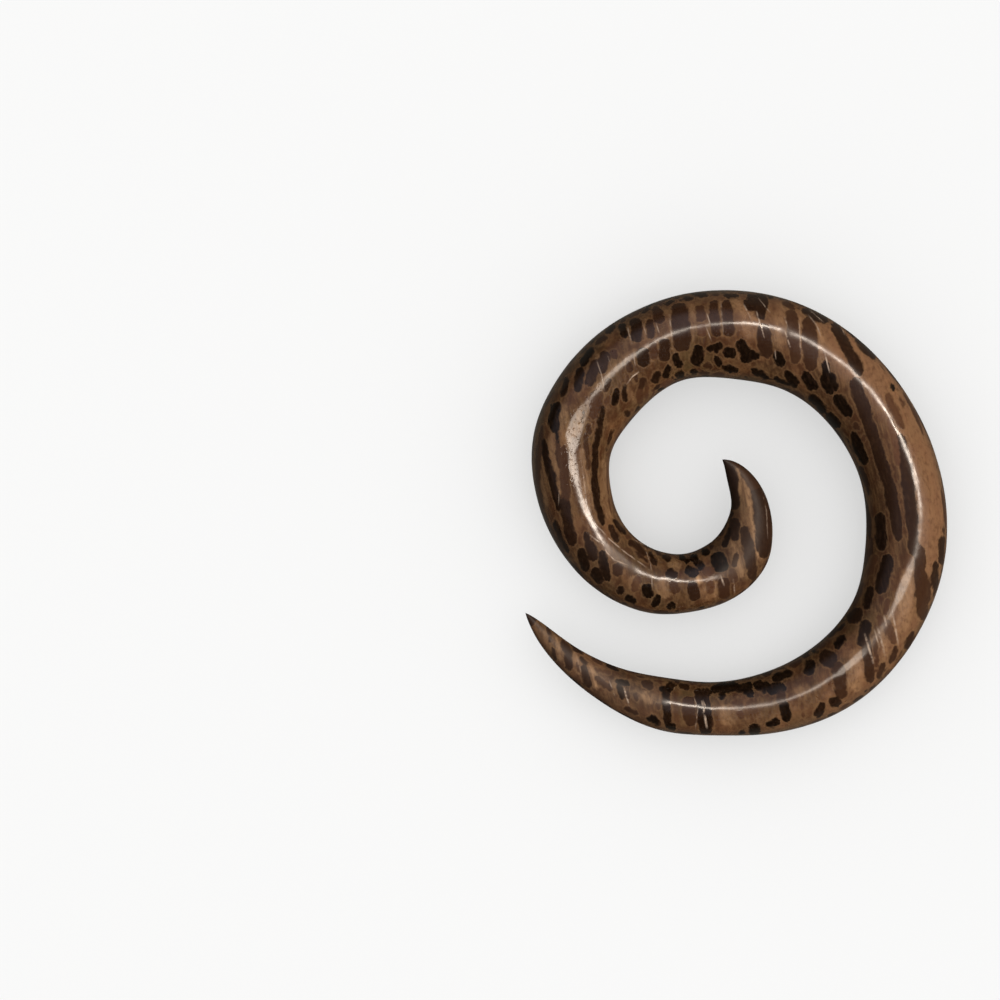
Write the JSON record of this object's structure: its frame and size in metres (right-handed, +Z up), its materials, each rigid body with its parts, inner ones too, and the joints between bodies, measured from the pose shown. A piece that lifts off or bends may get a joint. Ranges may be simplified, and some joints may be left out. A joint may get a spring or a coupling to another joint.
{
  "type": "spiral ear taper",
  "caption": "Carved palm wood ear taper: a round horn curled into a flat open spiral, thickest at the crown of its coil and drawn out to a point at each end.",
  "frame": {"origin": "centre of the bounding box in plan, on the surface that the coil lies on", "axes": "+Z up out of that surface, which is through the coil's thickness; +Y towards the crown of the coil; +X towards its broad outer side"},
  "size_m": [0.0472, 0.0499, 0.0102],
  "materials": {
    "palm_wood": "polished palm wood, tan with dark brown fibre bundles, waxed to a gloss"
  },
  "bodies": {
    "root": {"spiral_taper": "palm_wood"}
  },
  "joints": []
}
